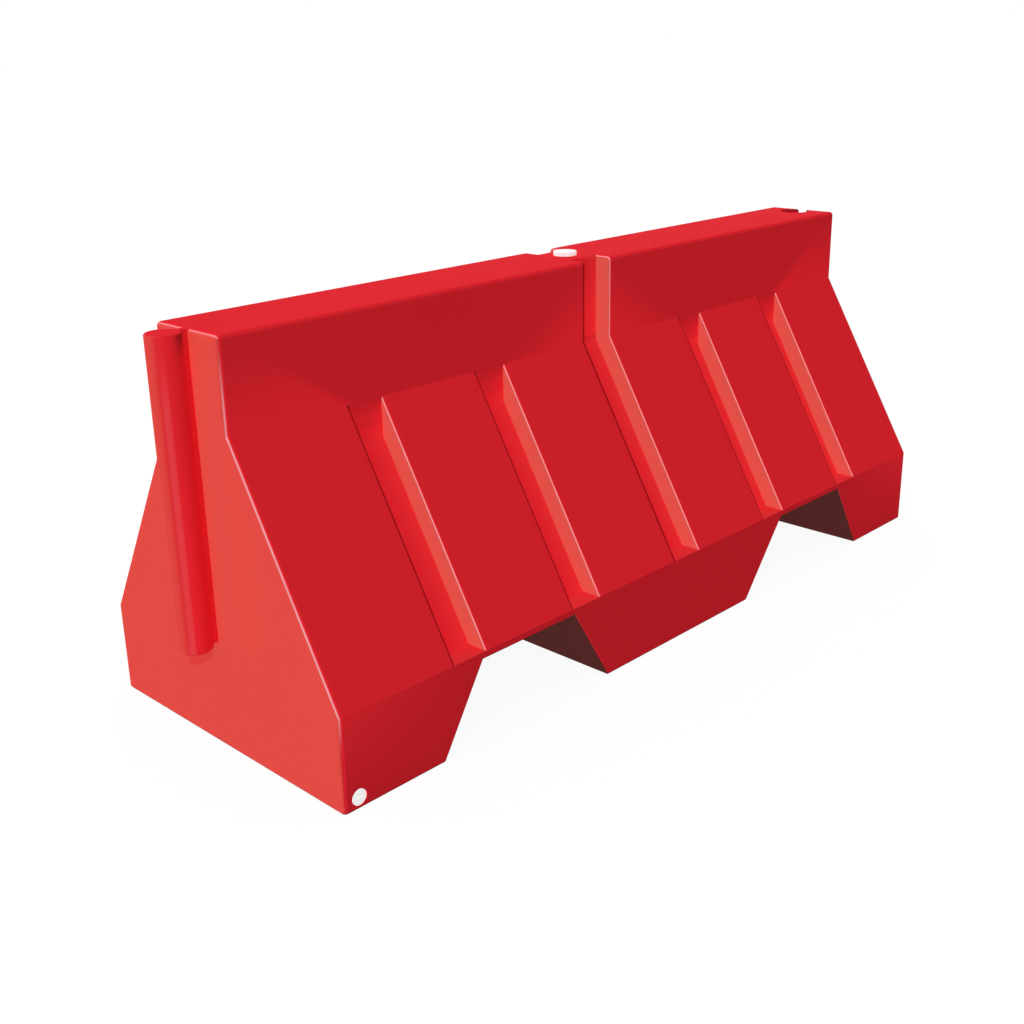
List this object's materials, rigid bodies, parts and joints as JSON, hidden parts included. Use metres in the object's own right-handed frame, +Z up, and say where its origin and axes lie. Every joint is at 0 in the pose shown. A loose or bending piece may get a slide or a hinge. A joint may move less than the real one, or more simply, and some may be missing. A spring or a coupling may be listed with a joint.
{
  "type": "plastic jersey barrier",
  "caption": "Hollow water-filled plastic road barrier with sloped sides, fork pockets, interlocking post and channel ends, a screw filler cap and a screw drain plug.",
  "frame": {"origin": "on the ground under the middle of the barrier's length, without the post, and on its centre plane", "axes": "+X along the barrier from the post end to the channel end, +Z up, -Y towards the side with the drain plug"},
  "size_m": [2.0746, 0.73, 0.8363],
  "materials": {
    "red_polyethylene": "satin rotomoulded polyethylene",
    "white_plastic": "smooth injection-moulded",
    "insert_plastic": "glass-filled nylon, moulded in",
    "seal_rubber": "matte"
  },
  "bodies": {
    "shell": {"barrier_shell": "red_polyethylene", "filler_insert": "insert_plastic", "drain_insert": "insert_plastic"},
    "cap_gasket": {"filler_gasket": "seal_rubber"},
    "cap": {"filler_cap": "white_plastic"},
    "plug_seal": {"drain_seal": "seal_rubber"},
    "plug": {"drain_plug": "white_plastic"}
  },
  "joints": [
    {"name": "cap_lift", "type": "slide", "parent": "shell", "child": "cap_gasket", "axis": [0, 0, 1], "range_m": [0, 0.014]},
    {"name": "cap_turn", "type": "hinge", "parent": "cap_gasket", "child": "cap", "pos_m": [0, 0, 0.827], "axis": [0, 0, 1], "range_deg": [0, 1260]},
    {"name": "plug_travel", "type": "slide", "parent": "shell", "child": "plug_seal", "axis": [0, -1, 0], "range_m": [0, 0.0125]},
    {"name": "plug_turn", "type": "hinge", "parent": "plug_seal", "child": "plug", "pos_m": [-0.9645, -0.365, 0.024], "axis": [0, -1, 0], "range_deg": [0, 1800]}
  ],
  "couplings": [
    {"joint": "cap_lift", "follows": "cap_turn", "m_per_rad": 0.00063662},
    {"joint": "plug_travel", "follows": "plug_turn", "m_per_rad": 0.00039789}
  ]
}
